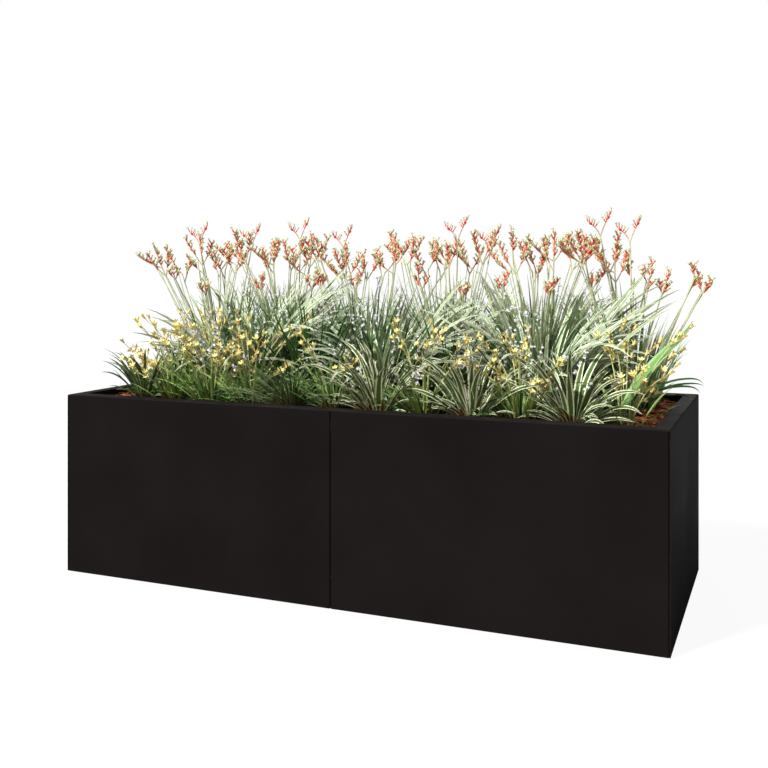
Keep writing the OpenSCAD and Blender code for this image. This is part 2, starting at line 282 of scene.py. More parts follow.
def make_leaf_blade():
    """Strap leaf: pale margins, a darker foot that is painted shade at the leaf's base, a drier tip and
    lengthwise veins.
    """
    tree, w, source, sink = new_group(
        "leaf_blade", ["Centre", "Margin", "Foot", "Tip"],
        ["Margin Width", "Foot Length", "Tip Length", "Variation"], ["Colour"], ["Height", "Roughness"])
    across, along = w.split(w.sheet())["X"], w.split(w.sheet())["Y"]
    tint = w.value_of("tint")
    spot = w.output_of("ShaderNodeCombineXYZ", X=across, Y=along, Z=w.times(tint, TINT_STEPS))
    streaks = w.noise(spot, 9.0, 3.0, 0.6, stretch=(3.0, 0.35, 1.0))
    from_middle = w.times(w.math("ABSOLUTE", w.minus(across, 0.5)), 2.0)
    streaked = w.centred(streaks, 0.5)
    edge = w.plus(from_middle, streaked)
    start = w.minus(1.0, source["Margin Width"])
    margin = w.spread(edge, w.minus(start, 0.08), w.plus(start, 0.08))
    colour = w.mix(margin, source["Centre"], source["Margin"])
    tip_start = w.minus(1.0, source["Tip Length"])
    colour = w.mix(w.spread(along, tip_start, 1.0), colour, source["Tip"])
    # The Foot colour over the first Foot Length of the leaf is painted shade, where the base sits deep in
    # the plant.
    colour = w.mix(w.spread(along, source["Foot Length"], 0.0), colour, source["Foot"])
    shade = w.plus(w.centred(tint, source["Variation"]), streaked)
    hue = w.plus(0.5, w.centred(tint, 0.03))
    bright = w.output_of("ShaderNodeHueSaturation", Color=colour, Value=w.plus(1.0, shade), Hue=hue)
    w.feed(sink["Colour"], bright)
    veins = w.math("SINE", w.times(across, VEINS))
    w.feed(sink["Height"], w.plus(veins, streaks))
    w.feed(sink["Roughness"], w.spread(streaks, 0.2, 0.8, 0.42, 0.62))
    return tree


def make_downy_tube():
    """Colour of a flower or stem that changes along its length, with downy flecks."""
    tree, w, source, sink = new_group("downy_tube", ["Foot", "Body", "Tip"], ["Foot End", "Tip Start"],
                                      ["Colour"], ["Height"])
    along = w.split(w.sheet())["Y"]
    down = w.noise(w.place(), DOWN, 2.0)
    ragged = w.plus(along, w.centred(down, 0.25))
    body = w.spread(ragged, w.times(source["Foot End"], 0.4), source["Foot End"])
    tip = w.spread(ragged, source["Tip Start"], w.plus(source["Tip Start"], 0.18))
    colour = w.mix(tip, w.mix(body, source["Foot"], source["Body"]), source["Tip"])
    shade = w.plus(w.centred(w.value_of("tint"), TUBE_VARIATION), w.centred(down, 0.5))
    w.feed(sink["Colour"], w.output_of("ShaderNodeHueSaturation", Color=colour, Value=w.plus(1.0, shade)))
    w.feed(sink["Height"], down)
    return tree


MOTTLE = make_mottle()
WORN_EDGES = make_worn_edges()
SETTLED_DUST = make_settled_dust()
FINE_GRAIN = make_fine_grain()
LEAF_BLADE = make_leaf_blade()
DOWNY_TUBE = make_downy_tube()


# ---- Materials ----


def emptied(block):
    """Clears the nodes of a new material or world; returns its wiring."""
    block.use_nodes = True
    block.node_tree.nodes.clear()
    return Wiring(block.node_tree)


def new_material(name, **sockets):
    """A material with one Principled shader; returns it, its wiring and the shader's inputs."""
    material = bpy.data.materials.new(name)
    w = emptied(material)
    shader = w.fed(w.node("ShaderNodeBsdfPrincipled"), sockets)
    w.fed(w.node("ShaderNodeOutputMaterial"), {"Surface": shader.outputs[0]})
    return material, w, shader.inputs


def relief(w, shader, height, depth, strength=1.0):
    """Raises the surface by height times depth, in metres, through a Bump node."""
    bump = w.output_of("ShaderNodeBump", Strength=strength, Distance=depth, Height=height)
    w.feed(shader["Normal"], bump)


SPANGLE, STONES = 90.0, 75.0  # scales of the zinc crystals and of the gravel


def make_powder_coat():
    material, w, shader = new_material("black_powder_coat", IOR=1.30, Specular_IOR_Level=0.1)
    colour, cloud = w.use(MOTTLE, First=tone(21, 18, 17), Second=tone(25, 22, 21), Scale=2.5, Grain=0.25)
    dust = w.use(SETTLED_DUST, Scale=9.0, Amount=0.10)["Mask"]
    edges = w.use(WORN_EDGES, Radius=0.002, Breakup=40.0)["Mask"]
    dusty = w.mix(dust, colour, tone(112, 100, 98))
    rubbed = w.mix(w.times(edges, 0.35), dusty, tone(78, 74, 72))
    w.feed(shader["Base Color"], rubbed)
    smooth = w.spread(cloud, 0.0, 1.0, 0.62, 0.70)
    w.feed(shader["Roughness"], w.plus(smooth, w.times(dust, 0.5)))
    relief(w, shader, w.use(FINE_GRAIN, Scale=1100.0, Wave=0.6)["Height"], 0.00012, 0.5)
    return material


def make_galvanised():
    material, w, shader = new_material("galvanised_steel", Metallic=0.9)
    spangle = w.cells(w.place(), SPANGLE, out="Color")
    patches = w.mix(0.12, tone(166, 170, 173), spangle, "OVERLAY")
    edges = w.use(WORN_EDGES, Radius=0.001, Breakup=60.0)["Mask"]
    w.feed(shader["Base Color"], w.mix(w.times(edges, 0.5), patches, tone(205, 206, 208)))
    w.feed(shader["Roughness"], w.spread(w.noise(w.place(), 60.0), 0.3, 0.7, 0.38, 0.55))
    relief(w, shader, w.cells(w.place(), SPANGLE), 0.0001, 0.4)
    return material


def make_stainless():
    material, w, shader = new_material("stainless_steel", Metallic=1.0)
    colour = w.use(MOTTLE, First=tone(176, 176, 178), Second=tone(198, 198, 200), Scale=60.0, Grain=0.4)
    w.feed(shader["Base Color"], colour["Colour"])
    w.feed(shader["Roughness"], w.spread(w.noise(w.place(), 500.0), 0.3, 0.7, 0.25, 0.4))
    return material


def make_gravel():
    material, w, shader = new_material("drainage_gravel")
    stones = w.cells(w.place(), STONES)
    each = w.cells(w.place(), STONES, out="Color")
    base = w.mix(0.35, tone(124, 118, 110), each, "SOFT_LIGHT")
    # Painted shade: the colour darkens between the stones, where the relief sinks.
    w.feed(shader["Base Color"], w.mix(w.spread(stones, 0.35, 0.75), base, tone(48, 42, 36)))
    w.feed(shader["Roughness"], w.spread(stones, 0.0, 1.0, 0.6, 0.9))
    relief(w, shader, w.minus(1.0, stones), 0.006)
    return material


def make_felt():
    material, w, shader = new_material("filter_felt", Roughness=0.95)
    colour = w.use(MOTTLE, First=tone(128, 130, 130), Second=tone(160, 162, 161), Scale=120.0, Grain=0.9)
    w.feed(shader["Base Color"], colour["Colour"])
    relief(w, shader, w.use(FINE_GRAIN, Scale=1500.0, Wave=1.0)["Height"], 0.0004)
    return material


def make_soil():
    material, w, shader = new_material("potting_soil", Roughness=0.95)
    crumbs = w.noise(w.place(), 260.0, 6.0, 0.7)
    colour = w.use(MOTTLE, First=tone(38, 24, 16), Second=tone(66, 42, 28), Scale=55.0, Grain=0.8)
    # Painted shade: the colour goes near black where the crumbs sink.
    w.feed(shader["Base Color"], w.mix(w.spread(crumbs, 0.3, 0.75), tone(22, 14, 9), colour["Colour"]))
    relief(w, shader, crumbs, 0.004)
    return material


def make_bark():
    """Each chip has its own tint; its fibres run along it, with painted shade in the grooves between them.
    """
    material, w, shader = new_material("bark_chips", Specular_IOR_Level=0.25)
    tint = w.value_of("tint")
    fibres = w.noise(w.sheet(), 9.0, 5.0, 0.7, stretch=(2.6, 0.5, 1.0))
    chips = w.mix(w.spread(tint, 0.15, 0.6), tone(132, 68, 36), tone(200, 120, 68))
    chips = w.mix(w.spread(tint, 0.7, 1.0), chips, tone(212, 152, 100))
    # Painted shade: the grooves between the fibres, where the relief sinks, are mixed towards near black.
    groove_shade = w.mix(0.55, chips, tone(26, 13, 8))
    w.feed(shader["Base Color"], w.mix(w.spread(fibres, 0.35, 0.7), groove_shade, chips))
    w.feed(shader["Roughness"], w.spread(fibres, 0.3, 0.7, 0.75, 0.92))
    relief(w, shader, fibres, 0.0012)
    return material


def make_leaf(name, centre, margin, foot, tip, margin_width, shade_foot_length, tip_length, variation, rough=0.0):
    """Four colours, the shares of the blade that margin, foot and tip take, and how much leaves differ. The
    dark foot is painted shade at the leaf's base.
    """
    material, w, shader = new_material(name, Specular_IOR_Level=0.4)
    blade = w.use(LEAF_BLADE, Centre=tone(*centre), Margin=tone(*margin), Foot=tone(*foot), Tip=tone(*tip),
                  Margin_Width=margin_width, Foot_Length=shade_foot_length, Tip_Length=tip_length,
                  Variation=variation)
    w.feed(shader["Base Color"], blade["Colour"])
    w.feed(shader["Roughness"], w.plus(blade["Roughness"], rough, clamp=True))
    relief(w, shader, blade["Height"], 0.0003, 0.6)
    return material


def make_tube(name, foot, body, tip, foot_end, tip_start):
    """Three colours, and where along the tube the foot's ends and the tip's starts."""
    material, w, shader = new_material(name, Roughness=0.75, Specular_IOR_Level=0.3, Sheen_Weight=0.25,
                                       Sheen_Roughness=0.4)
    skin = w.use(DOWNY_TUBE, Foot=tone(*foot), Body=tone(*body), Tip=tone(*tip), Foot_End=foot_end,
                 Tip_Start=tip_start)
    w.feed(shader["Base Color"], skin["Colour"])
    relief(w, shader, skin["Height"], 0.0004, 0.6)
    return material


POWDER_COAT = make_powder_coat()
GALVANISED = make_galvanised()
STAINLESS = make_stainless()
GRAVEL = make_gravel()
FELT = make_felt()
SOIL = make_soil()
BARK = make_bark()
# Each leaf's colours are centre, margin, foot and tip; the foot is darkened as painted shade at the leaf's
# base.
STRIPED_LEAF = make_leaf(
    "striped_leaf", (80, 104, 46), (242, 242, 208), (58, 26, 24), (204, 200, 160), 0.38, 0.16, 0.05, 0.4)
GRASS_LEAF = make_leaf(
    "grass_leaf", (56, 110, 42), (116, 160, 84), (8, 16, 5), (150, 166, 104), 0.30, 0.48, 0.10, 1.1)
# Deep green under-leaves: their dark colour is partly the leaf's own and partly painted shade for the gaps
# between the plants.
DEEP_GREEN_SHADE_LEAF = make_leaf(
    "deep_green_shade_leaf", (36, 68, 28), (68, 102, 52), (6, 10, 4), (104, 112, 70), 0.25, 0.45, 0.10, 0.7)
BROAD_LEAF = make_leaf(
    "broad_leaf", (118, 160, 92), (160, 194, 130), (88, 130, 66), (146, 182, 116), 0.35, 0.30, 0.10, 0.2)
DARK_LEAF = make_leaf(
    "dark_leaf", (60, 84, 42), (156, 172, 120), (26, 18, 12), (132, 136, 92), 0.28, 0.30, 0.10, 0.7)
# A lighter copy of the kangaroo paw leaf for the yellow paws: painted light that makes up for the shade on
# their leaves.
PAW_LEAF_PAINTED_LIGHT = make_leaf(
    "paw_leaf_painted_light", (138, 174, 82), (200, 216, 140), (34, 50, 16), (184, 180, 112), 0.30, 0.34, 0.10, 1.0)
PAW_LEAF = make_leaf(
    "kangaroo_paw_leaf", (102, 148, 76), (172, 200, 136), (14, 26, 8), (166, 172, 116),
    0.25, 0.46, 0.10, 0.9)
SILVER_LEAF = make_leaf(
    "silver_leaf", (158, 174, 130), (222, 226, 204), (14, 26, 8), (212, 216, 200),
    0.36, 0.44, 0.08, 1.0, rough=0.12)
RED_STEM = make_tube("red_paw_stem", (140, 170, 100), (206, 212, 170), (214, 200, 158), 0.35, 0.9)
RED_BRANCH = make_tube("red_paw_branch", (204, 206, 158), (220, 156, 122), (216, 92, 76), 0.45, 0.7)
RED_FLOWER = make_tube("red_paw_flower", (206, 54, 48), (236, 132, 102), (224, 232, 188), 0.38, 0.46)
RED_BUD = make_tube("red_paw_bud", (216, 84, 68), (206, 56, 50), (222, 120, 92), 0.4, 0.7)
YELLOW_STEM = make_tube("yellow_paw_stem", (160, 178, 104), (204, 206, 142), (196, 176, 116), 0.4, 0.8)
YELLOW_TWIG = make_tube("yellow_paw_twig", (196, 194, 132), (200, 182, 122), (198, 138, 86), 0.4, 0.85)
YELLOW_FLOWER = make_tube("yellow_paw_flower", (198, 130, 66), (244, 216, 118), (250, 238, 162), 0.14, 0.40)
SMALL_FLOWER = make_tube("small_pale_flower", (176, 180, 164), (238, 238, 242), (250, 250, 250), 0.3, 0.6)

# ---- CAD nodes that show or carry over ----


def paint(nodes, material):
    """Gives CAD nodes their material."""
    for name in nodes:
        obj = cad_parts[name]
        obj.data.materials.clear()
        obj.data.materials.append(material)


paint([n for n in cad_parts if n.endswith("_panel")], POWDER_COAT)
paint(nodes_called("floor_bearer") + ["cross_tie", "left_floor_pan", "right_floor_pan"], GALVANISED)
paint(["seam_bolts", "seam_washers", "seam_nuts", "weld_studs", "corner_washers", "corner_nuts"], STAINLESS)
paint(["left_gravel_bed", "right_gravel_bed"], GRAVEL)
paint(["soil"], SOIL)

# ---- Mesh making ----

UP = np.array((0.0, 0.0, 1.0))
GOLDEN = 2.399963  # radians between one leaf and the next round a crown
LEAF_GAP = 0.004  # metres that a leaf keeps from the bark and the rim
REACH_X, REACH_Y = HALF_L + 0.10, HALF_W - LEAF_GAP  # how far the planting may spread
EASE_X, EASE_Y = 0.10, 0.09  # metres over which leaves slow down before they get there
WALL_BAND, WALL_RISE = 0.075, 0.03  # where leaves start to rise over a wall, and how far that takes
LIFTS, LIFT_DROOP, LIFT_RISE = 6, 0.8, 0.08  # how a leaf that would lie in the bark is stood up


def unit(v):
    """The same direction, or rows of directions, with length 1."""
    v = np.asarray(v, float)
    return v / np.maximum(np.linalg.norm(v, axis=-1, keepdims=True), 1e-9)


def level(angle, length):
    """A level step of this length at this angle from +X."""
    return np.array((math.cos(angle) * length, math.sin(angle) * length, 0.0))


def ease_to(value, start, limit):
    """Leaves value alone up to start, then slows it so that it never passes limit."""
    room = limit - start
    size = np.abs(value)
    over = np.maximum(size - start, 0)
    return np.sign(value) * (np.minimum(size, start) + room * over / (over + room))


def grid_over(low, high, count_x, count_y):
    """X and Y of an even grid of points over a box."""
    xs, ys = np.linspace(low.x, high.x, count_x), np.linspace(low.y, high.y, count_y)
    return np.meshgrid(xs, ys, indexing="ij")


def lowest(path):
    """The height that each point of a path must keep: over the bark, and over the rim near the walls."""
    near_x = np.clip((np.abs(path[:, 0]) - (HALF_L - WALL_BAND)) / WALL_RISE, 0, 1)
    near_y = np.clip((np.abs(path[:, 1]) - (HALF_W - WALL_BAND)) / WALL_RISE, 0, 1)
    return BARK_Z + LEAF_GAP + (RIM_Z + LEAF_GAP - BARK_Z) * np.maximum(near_x, near_y)


def clear_of_walls(path):
    """Keeps a path above the bark, over the rim where it crosses it, and inside the outline."""
    path = np.array(path, float)
    path[:, 0] = ease_to(path[:, 0], REACH_X - EASE_X, REACH_X)
    path[:, 1] = ease_to(path[:, 1], REACH_Y - EASE_Y, REACH_Y)
    path[1:, 2] = np.maximum(path[1:, 2], lowest(path)[1:])
    return path


class Growth:
    """Collects closed strips and tubes, then makes one mesh object of them."""

    def __init__(self, seed):
        self.random = np.random.default_rng(seed)
        self.points, self.faces, self.maps, self.tints, self.slots = [], [], [], [], []
        self.count = 0
        self.materials = []

    def pick(self, least, most):
        return self.random.uniform(least, most)

    def either(self, most):
        """A number between -most and most."""
        return self.random.uniform(-most, most)

    def spot(self, reach):
        """A level step to somewhere in a square that goes this far each way."""
        return np.append(self.random.uniform(-reach, reach, 2), 0)

    def slot_of(self, material):
        if material not in self.materials:
            self.materials.append(material)
        return self.materials.index(material)

    def rings(self, rings, across, along, tint, material):
        """Joins rings of points into a closed tube; each ring runs anticlockwise seen from the far end."""
        n, k = rings.shape[:2]
        index = self.count + np.arange(n * k).reshape(n, k)
        turned = np.roll(index, -1, 1)
        quads = np.stack([index[:-1], turned[:-1], turned[1:], index[1:]], -1)
        faces = quads.reshape(-1, 4).tolist() + [index[0][::-1].tolist(), index[-1].tolist()]
        self.points.append(rings.reshape(-1, 3))
        self.faces += faces
        self.slots += [self.slot_of(material)] * len(faces)
        lengthwise = np.asarray(along)[:, None]
        sheet = np.stack(np.broadcast_arrays(across, lengthwise, index)[:2], -1)
        self.maps.append(sheet.reshape(-1, 2))
        self.tints.append(np.full(n * k, tint))
        self.count += n * k

    def slab(self, top, under, repeat_y, repeat_x, tint, material):
        """A closed slab between two grids of points; its texture repeats this often over it."""
        count_x, count_y = top.shape[:2]
        across = np.concatenate([np.linspace(1, 0, count_y), np.linspace(0, 1, count_y)]) * repeat_y
        rings = np.concatenate([top[:, ::-1], under], 1)
        self.rings(rings, across, np.linspace(0, repeat_x, count_x), tint, material)

    def ribbon(self, path, side, width, fold, thick, along, tint, material):
        """A thin closed blade along path: width across side, margins raised by fold times the width."""
        heading = unit(np.gradient(path, axis=0))
        side = unit(side - heading * (side * heading).sum(1, keepdims=True))
        normal = np.cross(heading, side)
        half = side * (width / 2)[:, None]
        raised = normal * (width * fold)[:, None]
        body = normal * thick / 2
        rings = np.stack([path + half + raised, path + body, path - half + raised, path - body], 1)
        self.rings(rings, np.array((1.0, 0.5, 0.0, 0.5)), along, tint, material)

    def blade(self, base, azimuth, rise, length, width, droop, material, fold=0.18, power=1.6, swirl=0.0,
              roll=0.0, steps=11, thick=0.0006, foot_share=0.55, taper=2.4):
        """A leaf that leaves base at the angle rise above level and bends down by droop along its length.
        A leaf that would lie in the bark or the rim stands up a little more until it doesn't."""
        t = np.linspace(0, 1, steps)
        turn = azimuth + swirl * t
        stride = length / (steps - 1)
        for _ in range(LIFTS):
            lift = rise - droop * t ** power
            heading = np.stack([np.cos(lift) * np.cos(turn), np.cos(lift) * np.sin(turn), np.sin(lift)], 1)
            path = np.asarray(base) + np.vstack([np.zeros(3), np.cumsum(heading[:-1] * stride, 0)])
            if (path[2:, 2] > lowest(path)[2:]).all():
                break
            droop, rise = droop * LIFT_DROOP, rise + LIFT_RISE
        path = clear_of_walls(path)
        flat = np.stack([-np.sin(turn), np.cos(turn), np.zeros(steps)], 1)
        normal = np.cross(heading, flat)
        angle = (roll * (0.35 + 0.65 * t))[:, None]
        side = flat * np.cos(angle) + normal * np.sin(angle)
        swell = foot_share + (1 - foot_share) * np.sin(np.clip(t / 0.4, 0, 1) * np.pi / 2)
        outline = width * swell * np.maximum(1 - t ** taper, 0.04)
        self.ribbon(path, side, outline, fold, thick, t, self.random.random(), material)

    def tube(self, path, radii, material, sides=6, tint=None, along=None):
        """A round closed stem through the points of path."""
        path = np.asarray(path, float)
        heading = unit(np.gradient(path, axis=0))
        guide = np.array((0.0, 1.0, 0.0)) if abs(heading[0][1]) < 0.8 else np.array((1.0, 0.0, 0.0))
        side = unit(np.cross(guide, heading))
        normal = np.cross(heading, side)
        turn = np.arange(sides) * 2 * np.pi / sides
        circle = np.cos(turn)[:, None] * side[:, None] + np.sin(turn)[:, None] * normal[:, None]
        rings = path[:, None] + circle * np.asarray(radii)[:, None, None]
        if tint is None:
            tint = self.random.random()
        if along is None:
            along = np.linspace(0, 1, len(path))
        self.rings(rings, np.arange(sides) / sides, along, tint, material)

    def stem(self, path, thick, thin, material, sides=5):
        """A tube whose radius runs evenly from thick to thin."""
        self.tube(path, np.linspace(thick, thin, len(path)), material, sides)

    def finish(self, name, node, sharp=50):
        """Makes the object, gives it its materials and lets it ride in place of its CAD node."""
        mesh = bpy.data.meshes.new(name)
        mesh.from_pydata(np.concatenate(self.points).tolist(), [], self.faces)
        for material in self.materials:
            mesh.materials.append(material)
        mesh.polygons.foreach_set("material_index", self.slots)
        mesh.polygons.foreach_set("use_smooth", [True] * len(mesh.polygons))
        tint = mesh.attributes.new("tint", "FLOAT", "POINT")
        tint.data.foreach_set("value", np.concatenate(self.tints).astype(np.float32))
        corners = np.empty(len(mesh.loops), np.int32)
        mesh.loops.foreach_get("vertex_index", corners)
        sheet = mesh.uv_layers.new(name="leaf")
        sheet.data.foreach_set("uv", np.concatenate(self.maps)[corners].astype(np.float32).ravel())
        mesh.set_sharp_from_angle(angle=math.radians(sharp))
        mesh.update()
        obj = bpy.data.objects.new(name, mesh)
        link(obj)
        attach(obj, "root")
        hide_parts(node)
        return obj


# ---- Leaves, stems and flowers ----

NO_LEAN = (0.0, 0.0)
ROOTED = 0.004  # metres that leaves and stems start below the bark's surface


def arc(start, heading, length, bend, steps):
    """Points along a curve that leaves start along heading and turns steadily towards bend."""
    heading, bend = unit(heading), np.asarray(bend, float)
    points = [np.asarray(start, float)]
    for i in range(steps - 1):
        points.append(points[-1] + unit(heading + bend * (i + 0.5) / (steps - 1)) * length / (steps - 1))
    return np.array(points)


def end_of(path, steps=1):
    """The direction in which a path ends, over its last steps."""
    return unit(path[-1] - path[-1 - steps])


def sweep(foot, knee, tip, steps):
    """Points along a curve from foot to tip that is pulled towards knee."""
    t = np.linspace(0, 1, steps)[:, None]
    return foot * (1 - t) ** 2 + 2 * knee * t * (1 - t) + tip * t ** 2


def room_to_wall(place, azimuth):
    """How far a leaf can reach level from place before it is over the outer edge of the rim."""
    across, deep = math.cos(azimuth), math.sin(azimuth)
    room_x = (HALF_L - math.copysign(1, across) * place[0]) / max(abs(across), 1e-6)
    room_y = (HALF_W - math.copysign(1, deep) * place[1]) / max(abs(deep), 1e-6)
    return min(room_x, room_y)


def round_crown(g, middle, count, material, length, width, rise, droop, foot, lean=NO_LEAN, face=0.9,
                nod=0.0, **extra):
    """Leaves all round a crown, with their feet up to foot from its middle; each range is (least, most).
    lean pushes the leaves to one side and shortens those against it, face is how far they twist to turn
    their upper sides to the sunny front, and nod bends the front ones over."""
    for i in range(count):
        azimuth = GOLDEN * i + g.either(0.6)
        push = np.array((math.cos(azimuth) + lean[0], math.sin(azimuth) + lean[1]))
        azimuth = math.atan2(push[1], push[0])
        strength = np.linalg.norm(push)
        inner = (i + 0.5) / count
        base = np.asarray(middle) + level(azimuth, foot * math.sqrt(1 - inner)) - UP * ROOTED
        upright = inner if not any(lean) else inner * 0.5 + 0.5 * (1 - min(strength / 1.8, 1))
        up = rise[0] + (rise[1] - rise[0]) * upright + g.either(0.12)
        size = g.pick(*length) * min(0.35 + 0.65 * strength, 1)
        bend = g.pick(*droop) + nod * max(-math.sin(azimuth), 0)
        reach = size * math.cos(up - bend * 0.4)
        share = min(room_to_wall(base, azimuth) / max(reach, 0.01), 1.0)
        g.blade(base, azimuth, up + (1 - share) * 0.6, size * (0.4 + 0.6 * share), g.pick(*width), bend,
                material, swirl=g.either(0.45),
                roll=face * math.cos(azimuth) + g.either(0.45), **extra)


def stray_leaves(g, middle, strays):
    """Single long leaves that stand out of a plant."""
    for x, y, turn, rise, length, width, droop, material in strays:
        g.blade(middle + Vector((x, y, 0)), turn, rise, length, width, droop, material, steps=16,
                foot_share=0.4, power=0.8, taper=1.8, roll=1.1)


TUBE_SWELL = np.array((0.55, 0.85, 0.95, 0.85, 0.95))  # a flower's radius from foot to mouth
LOBE_SWELL = np.array((0.8, 1.1, 1.0, 0.35))  # a lobe's width from mouth to point


def tube_flower(g, base, heading, length, radius, curl, splay, material, lobe_share, lobes=6,
                lobe_width=1.0):
    """A downy curved tube that splits into pointed lobes at its mouth."""
    tint = g.random.random()
    mouth = 1 - lobe_share
    path = arc(base, heading, length * mouth, curl, len(TUBE_SWELL))
    g.tube(path, radius * TUBE_SWELL, material, tint=tint, along=np.linspace(0, mouth, len(TUBE_SWELL)))
    aim = end_of(path)
    guide = UP if abs(aim[2]) < 0.9 else np.array((1.0, 0.0, 0.0))
    side = unit(np.cross(guide, aim))
    normal = np.cross(aim, side)
    lobe_l = length * lobe_share
    t = np.linspace(0, 1, len(LOBE_SWELL))
    for i in range(lobes):
        turn = 2 * np.pi * i / lobes + g.either(0.2)
        out = side * math.cos(turn) + normal * math.sin(turn)
        sideways = normal * math.cos(turn) - side * math.sin(turn)
        angle = splay * (0.35 + 0.65 * t) * g.pick(0.8, 1.15)
        steps = aim * np.cos(angle)[:, None] + out * np.sin(angle)[:, None]
        start = path[-1] + out * radius * 0.7 - aim * lobe_l * 0.2
        lobe = start + np.vstack([np.zeros(3), np.cumsum(steps[1:] * lobe_l * 1.2 / 3, 0)])
        width = radius * lobe_width * LOBE_SWELL
        g.ribbon(lobe, np.tile(sideways, (len(t), 1)), width, -0.10, radius * 0.2, mouth + lobe_share * t,
                 tint, material)


def raceme(g, path, first, count, length, radius, out):
    """Red flowers along the last part of a branch, like raised fingers, most of them on the side out."""
    last = len(path) - 1
    across = unit(np.cross(out, UP))
    for i in range(count):
        at = (first + (1 - first) * i / max(count - 1, 1)) * last
        low = min(int(at), last - 1)
        base = path[low] + (path[low + 1] - path[low]) * (at - low)
        heading = unit(path[low + 1] - path[low])
        side = -0.6 if i % 3 == 2 else g.pick(0.35, 1.0)
        aim = heading * 0.35 + UP * 0.55 + out * side + across * g.either(0.9)
        size = length * g.pick(0.7, 1.1)
        tube_flower(g, base, aim, size, radius * g.pick(0.85, 1.15), UP * 0.45, 0.6, RED_FLOWER,
                    0.24, lobes=5, lobe_width=1.2)


# ---- Front row ----


def striped_rosette(node, seed, leaf, counts, length, width, rise, shift=0.0, lean=NO_LEAN):
    """Long arching leaves over short flatter ones; counts says how many there are of each."""
    g = Growth(seed)
    middle = crown(node) + Vector((shift, 0, 0))
    round_crown(g, middle, counts[0], leaf, length, width, (rise, 1.45), (0.6, 1.4), 0.030, lean,
                power=2.2, steps=13, fold=0.14, taper=3.4)
    round_crown(g, middle, counts[1], leaf, (0.12, 0.19), (0.012, 0.017), (0.40, 1.00), (0.7, 1.4), 0.040,
                lean, face=1.2, power=1.7, steps=12, fold=0.15, taper=3.2)
    g.finish(node + "_plant", node)


def fine_tuft(node, seed):
    """A low round tuft of hair-thin leaves."""
    g = Growth(seed)
    round_crown(g, crown(node), 170, DARK_LEAF, (0.13, 0.26), (0.005, 0.009), (0.30, 1.45), (0.6, 1.6),
                0.040, steps=9, thick=0.0005)
    g.finish(node + "_plant", node)


def yellow_paw_plant(node, seed, stems, leaves, lean, strays):
    """Short leaves under thin stems, each with a few twigs that end in an open yellow flower."""
    g = Growth(seed)
    middle = crown(node)
    round_crown(g, middle, leaves, PAW_LEAF_PAINTED_LIGHT, (0.12, 0.24), (0.008, 0.012), (0.75, 1.45), (0.2, 0.9),
                0.045, power=1.8, steps=9)
    round_crown(g, middle, leaves, GRASS_LEAF, (0.10, 0.20), (0.007, 0.011), (0.40, 1.3), (0.4, 1.2),
                0.045, steps=8)
    stray_leaves(g, middle, strays)
    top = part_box(node)[1].z
    for i in range(stems):
        azimuth = 2 * np.pi * (i + g.pick(0, 0.7)) / stems
        out = np.array((math.cos(azimuth) + lean[0], math.sin(azimuth) * 0.7 + lean[1], 0.0))
        height = (top - BARK_Z) * g.pick(0.30, 1.0)
        foot = np.asarray(middle) + unit(out) * 0.014
        tip = foot + out * g.pick(0.04, 0.13) + UP * height
        knee = foot * 0.4 + tip * 0.6 + UP * height * 0.18 - out * 0.03
        path = clear_of_walls(sweep(foot, knee, tip, 10))
        g.stem(path, 0.0023, 0.0013, YELLOW_STEM)
        heading = end_of(path, 2)
        for j in range(int(g.random.integers(3, 6))):
            start = path[9 - j]
            side = unit(np.cross(heading, UP) + 1e-3) * (1 if j % 2 else -1)
            aim = heading * 0.8 + side * g.pick(0.3, 1.0) + out * g.pick(-0.3, 0.8)
            stalk = clear_of_walls(arc(start, aim, g.pick(0.012, 0.045), UP * 0.5, 5))
            g.stem(stalk, 0.0012, 0.0010, YELLOW_TWIG)
            face = end_of(stalk) + g.spot(0.3)
            tube_flower(g, stalk[-1], face, g.pick(0.018, 0.027), 0.0040, UP * 0.2,
                        g.pick(0.7, 1.2), YELLOW_FLOWER, 0.48, lobe_width=1.35)
    g.finish(node + "_plant", node)


# ---- Middle row ----


def green_grass(node, seed, height, lean, count, strays):
    """A clump of upright green grass; strays are single leaves that stand out of it."""
    g = Growth(seed)
    stray_leaves(g, crown(node), strays)
    round_crown(g, crown(node), count, GRASS_LEAF, (height * 0.55, height * 1.1), (0.008, 0.013),
                (0.75, 1.50), (0.15, 0.9), 0.075, lean, face=0.35, steps=10, power=1.9)
    g.finish(node + "_plant", node)


def silver_clump(node, seed, lean, longest):
    """Broad silver leaves that arch to the front over darker ones, whose dark green is partly painted
    shade, with tiny pale flowers among them.
    """
    g = Growth(seed)
    middle = crown(node)
    round_crown(g, middle, 145, SILVER_LEAF, (longest * 0.66, longest), (0.018, 0.026), (0.95, 1.46),
                (0.35, 1.25), 0.100, lean, face=1.1, nod=1.1, power=1.5, fold=0.09, steps=13)
    round_crown(g, middle, 80, DEEP_GREEN_SHADE_LEAF, (0.20, 0.42), (0.010, 0.015), (0.40, 1.40), (0.3, 1.1), 0.085,
                power=1.8, steps=9)
    for _ in range(60):
        azimuth = g.either(np.pi)
        rise = g.pick(0.65, 1.35)
        out = level(azimuth, math.cos(rise)) + np.array((0.25, -0.30, math.sin(rise)))
        stalk = clear_of_walls(arc(middle, out, g.pick(0.28, 0.46), -UP * 0.3, 7))
        g.stem(stalk, 0.0011, 0.0006, PAW_LEAF)
        for _ in range(4):
            aim = end_of(stalk) + g.random.uniform(-0.9, 0.9, 3)
            base = stalk[-1] - unit(out) * g.pick(0.0, 0.08)
            tube_flower(g, base, aim, 0.010, 0.0034, UP * 0.2, 0.35, SMALL_FLOWER, 0.5, lobes=4)
    g.finish(node + "_plant", node)


# ---- Back row ----

